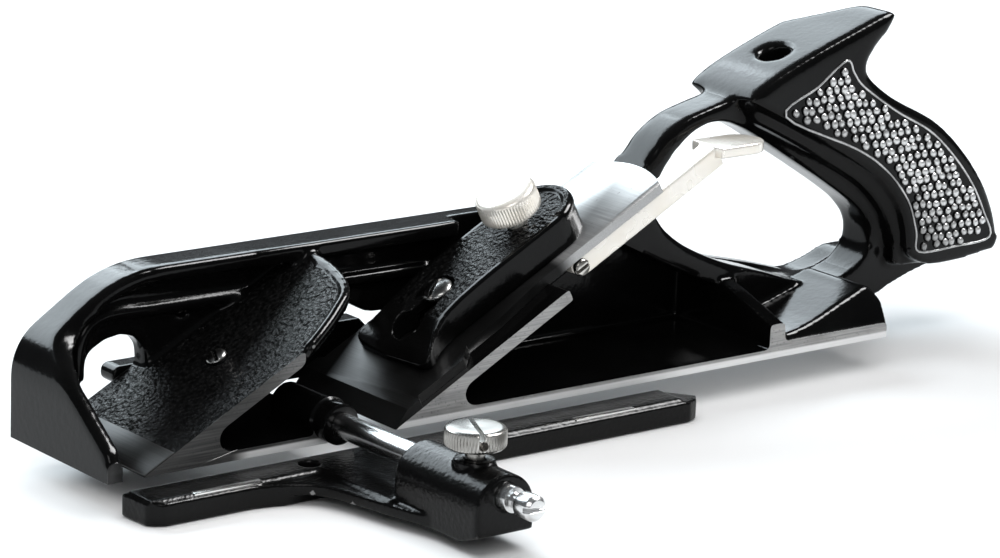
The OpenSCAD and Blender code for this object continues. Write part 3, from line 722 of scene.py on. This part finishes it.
# Lever cap: a soft cast shell, pebbled on its broad face and glossy round its rim.
def lever_cap():
    bm = node_copy("lever_cap")
    high = bed_span("lever_cap", MAIN_FOOT)[2]
    lie = on_bed(MAIN_FOOT, 0, 0, 0)
    back = lie.inverted()
    end = max((back @ v.co).x for v in bm.verts)
    roll_r = 9.2
    roll_s = end - 10.5
    turns = [a / 10 for a in range(-14, 15)]
    roll = [(roll_s + roll_r * math.cos(a), roll_r * math.sin(a), high - 0.9) for a in turns]
    rod(bm, [lie @ Vector(p) for p in roll], radius=1.7)
    soft_cast(bm, voxel=0.32, passes=5)
    thinned(bm, 150000)
    finishes = [CAP_ENAMEL, PEBBLED]
    pebbled = finishes.index(PEBBLED)
    for f in bm.faces:
        at = back @ f.calc_center_median()
        up = (back.to_3x3() @ f.normal).z
        if up > 0.97 and abs(at.y) < roll_r and at.z > 5:
            f.material_index = pebbled
    piece(bm, "cap_shell", "lever_cap", finishes, "lever_cap")


# Cutter with crisp, slightly eased edges; the eased faces take bright steel as a painted highlight line.
def cutter():
    bm = node_copy("cutter")
    flats_joined(bm)
    finishes = [BLADE, BAR]
    # Painted highlight: the new bevel faces get the bright bar steel.
    for f in eased_edges(bm, width=0.22, angle=40):
        f.material_index = finishes.index(BAR)
    piece(bm, "cutter_blade", "cutter", finishes, "cutter", sharp=25)


# Thumbscrew of the lever cap: a deep head with a fine straight knurl and a dished top.
def cap_thumbscrew():
    steps = 132
    r = 7.75
    t = 6.8
    shank_r = 2.5
    knurl_low = 0.9
    knurl_high = t - 1.3
    s, low, high = bed_span("lever_cap_thumbscrew", MAIN_FOOT)
    head = [(shank_r + 1.7, 0), (r - 0.85, 0.05), (r - 0.4, 0.4), (r, knurl_low), (r, 2.2), (r, 4.0),
            (r, knurl_high), (r - 0.3, t - 0.8), (r - 0.55, t - 0.45), (r - 1.15, t - 0.1), (r - 2.35, t),
            (shank_r, t - 0.08), (0, t - 0.1)]
    bm = turned(shank(shank_r, high - t - low, chamfer=0.3) + head, steps)
    knurled(bm, r, knurl_low, knurl_high, depth=0.28, steps=steps)
    placed(bm, on_bed(MAIN_FOOT, s, 0, high - t))
    piece(bm, "cap_thumbscrew", "cap_screw", [CREAM_NICKEL], "lever_cap_thumbscrew", sharp=40)


lever_cap()
cutter()
cap_thumbscrew()


# Fulcrum screws: domed heads with a saw slot.
def fulcrum_screw(name, node, foot, r, t, turn):
    s, low, high = bed_span(node, foot)
    dome = [(r - 0.2, 0), (r, 0.25), (r, t * 0.42), (r * 0.9, t * 0.68), (r * 0.66, t * 0.88),
            (r * 0.3, t * 0.98), (0, t)]
    bm = turned(shank(2.0, high - t - low, chamfer=0.3) + dome, steps=48)
    slotted(bm, width=1.0, top=t, depth=t * 0.5, turn=turn)
    placed(bm, on_bed(foot, s, 0, high - t))
    piece(bm, name, "body", [SCREW_STEEL], node, sharp=40)


fulcrum_screw("main_fulcrum", "main_fulcrum_screw", MAIN_FOOT, r=4.0, t=2.6, turn=0.4)
fulcrum_screw("front_fulcrum", "front_fulcrum_screw", FRONT_FOOT, r=2.6, t=1.6, turn=1.1)


# Adjusting lever: a flat forged strip with soft edges. Its pivot screw and the fence arm are machined.
def adjusting_lever():
    bm = node_copy("adjusting_lever")
    soft_cast(bm, voxel=0.26, passes=6)
    thinned(bm, 120000)
    piece(bm, "adjuster", "adjuster", [CREAM_NICKEL], "adjusting_lever")


adjusting_lever()
eased_copy("lever_pivot_screw", "adjuster_pivot", "body", NICKEL, width=0.15)
eased_copy("fence_arm", "arm_bar", "body", BAR, width=0.25)


# Fence: a rough cast bar and boss, with a rubbed strip along the bar's top on each side of the boss.
def fence():
    bm = node_copy("fence")
    top = max(v.co.z for v in bm.verts if v.co.y > -HALF_W - 11)
    soft_cast(bm, voxel=0.45, passes=4)
    thinned(bm, 150000)
    piece(bm, "fence_casting", "fence", [FENCE_ENAMEL], "fence")
    rub_length = 18.5
    rub_near = -HALF_W - 11.2
    rub_far = -HALF_W - 9.4
    sunk = 0.6
    proud = 0.06
    bm = bmesh.new()
    for x in (-45, 65):
        block(bm, (x, rub_near, top - sunk), (x + rub_length, rub_far, top + proud))
    eased_edges(bm, width=0.15)
    piece(bm, "fence_rubs", "fence", [SCREW_STEEL])


# Fence thumbscrew: a broad knurled head with a saw slot and a dimple in its rim.
def fence_thumbscrew():
    steps = 112
    r = 7.1
    t = 4.8
    knurl_low = 0.8
    knurl_high = t - 0.8
    low, high = (Vector(p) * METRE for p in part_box("fence_thumbscrew"))
    head = [(4.4, 0), (r - 0.7, 0.05), (r - 0.3, 0.4), (r, knurl_low), (r, t / 2), (r, knurl_high),
            (r - 0.25, t - 0.4), (r - 0.6, t - 0.1), (r - 1.4, t), (3.0, t - 0.04), (0, t - 0.05)]
    bm = turned(shank(2.3, high.z - low.z - t, chamfer=0.4) + head, steps)
    knurled(bm, r, knurl_low, knurl_high, depth=0.3, steps=steps)
    slotted(bm, width=1.2, top=t, depth=1.6, turn=math.radians(65))
    drill = bmesh.new()
    drill_r = 1.1
    aim = Matrix.Rotation(math.radians(-112), 4, "Z") @ Matrix.Rotation(math.radians(90), 4, "Y")
    bmesh.ops.create_cone(drill, cap_ends=True, segments=24, radius1=drill_r, radius2=drill_r, depth=6,
                          matrix=Matrix.Translation((0, 0, 2)) @ aim @ Matrix.Translation((0, 0, 6.5)))
    cut_with(bm, drill)
    placed(bm, Matrix.Translation(((low.x + high.x) / 2, (low.y + high.y) / 2, high.z - t)))
    piece(bm, "fence_thumbscrew_head", "fence_screw", [NICKEL], "fence_thumbscrew", sharp=40)


fence()
fence_thumbscrew()


# Depth stop with its screw and washer, and the spur with its screw.
def depth_stop():
    bm = node_copy("depth_stop")
    soft_cast(bm, voxel=0.3, passes=4)
    thinned(bm, 60000)
    piece(bm, "depth_shoe", "depth_stop", [ENAMEL], "depth_stop")


def depth_stop_knob():
    steps = 72
    r = 5.0
    t = 4.0
    knurl_low = 0.6
    knurl_high = t - 0.8
    end_gap = 1.6
    low, high = (Vector(p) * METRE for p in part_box("depth_stop_screw"))
    head = [(r - 0.6, 0), (r - 0.25, 0.3), (r, knurl_low), (r, knurl_high), (r - 0.25, t - 0.4),
            (r - 0.7, t - 0.05), (2.4, t), (0, t - 0.05)]
    bm = turned(shank(2.0, high.y - low.y - t - end_gap, chamfer=0.4) + head, steps)
    knurled(bm, r, knurl_low, knurl_high, depth=0.26, steps=steps)
    slotted(bm, width=1.0, top=t, depth=1.1, turn=0.7)
    lie = Matrix.Translation(((low.x + high.x) / 2, high.y - t, (low.z + high.z) / 2))
    placed(bm, lie @ Matrix.Rotation(math.radians(-90), 4, "X"))
    piece(bm, "depth_knob", "stop_screw", [NICKEL], "depth_stop_screw", sharp=40)


depth_stop()
depth_stop_knob()
eased_copy("depth_stop_washer", "depth_washer", "stop_screw", BAR, width=0.12)
eased_copy("spur", "spur_wheel", "spur", BLADE, width=0.1, angle=40)
eased_copy("spur_screw", "spur_pivot", "body", BAR, width=0.12)


# Floor and light: a pale floor, broad lights behind that show in the enamel, and soft fills.
MIDDLE = (0.065, 0, 0.03)
WHITE = (1, 1, 1)
DAYLIGHT = (0.84, 0.94, 1.0)


def floor_finish():
    f = Finish("pale_floor")
    cloud = f.noise(3, 2)
    f.set(Base_Color=f.blend(cloud.between(0.3, 0.7), grey(0.84), grey(0.87)),
          Roughness=0.7 + 0.1 * cloud)
    return f.set(Specular_IOR_Level=0.1)


def floor():
    bm = bmesh.new()
    bmesh.ops.create_grid(bm, x_segments=2, y_segments=2, size=9000)
    bmesh.ops.translate(bm, vec=(0, 0, FLOOR_Z), verts=bm.verts)
    bmesh.ops.scale(bm, vec=(MM, MM, MM), verts=bm.verts)
    mesh = bpy.data.meshes.new("floor")
    bm.to_mesh(mesh)
    bm.free()
    mesh.materials.append(floor_finish())
    shown("floor", mesh)


def softbox(name, at, size, power, colour=WHITE, glossy=True, diffuse=True):
    """A rectangular light, in metres and watts, that is turned to the middle of the plane."""
    lamp = bpy.data.lights.new(name, "AREA")
    lamp.shape = "RECTANGLE"
    lamp.size, lamp.size_y = size
    lamp.energy = power
    lamp.color = colour
    item = shown(name, lamp)
    item.location = at
    item.rotation_euler = (Vector(at) - Vector(MIDDLE)).to_track_quat("Z", "Y").to_euler()
    item.visible_glossy = glossy
    item.visible_diffuse = diffuse


def studio_world():
    world = bpy.data.worlds.new("studio")
    bpy.context.scene.world = world
    world.use_nodes = True
    sky = world.node_tree.nodes["Background"].inputs
    sky["Color"].default_value = (0.9, 0.95, 1.0, 1)
    sky["Strength"].default_value = 0.12


floor()
softbox("back_box", at=(-0.025, 1.35, 1.0), size=(1.35, 0.70), power=26.5, colour=DAYLIGHT)
softbox("back_side_box", at=(1.0, 1.35, 1.0), size=(0.7, 0.70), power=9.0, colour=DAYLIGHT)
softbox("top_fill", at=(0.05, -0.1, 1.9), size=(2.6, 2.6), power=46, glossy=False)
softbox("front_fill", at=(-0.9, -1.3, 0.9), size=(0.9, 0.7), power=7)
softbox("glint_box", at=(0.78, -0.30, 0.98), size=(0.6, 0.5), power=34, diffuse=False)
studio_world()
bpy.context.scene.view_settings.view_transform = "Standard"


# Camera at the photograph's viewing angle. The angles are in radians, the place in metres.
def photo_camera():
    swing = -0.6672
    lift = 0.2607
    roll = 0.0364
    place = (-0.5214, -0.7448, 0.2787)
    lens = bpy.data.cameras.new("camera")
    lens.lens = 144
    lens.sensor_width = 36
    lens.clip_start = 0.01
    lens.clip_end = 50
    camera = shown("camera", lens)
    back = Vector((math.sin(swing) * math.cos(lift), -math.cos(swing) * math.cos(lift), math.sin(lift)))
    level = Vector((math.cos(swing), math.sin(swing), 0))
    upright = back.cross(level)
    right = math.cos(roll) * level + math.sin(roll) * upright
    up = math.cos(roll) * upright - math.sin(roll) * level
    turn = Matrix((right, up, back)).transposed().to_4x4()
    camera.matrix_world = Matrix.Translation(place) @ turn
    bpy.context.scene.camera = camera


photo_camera()
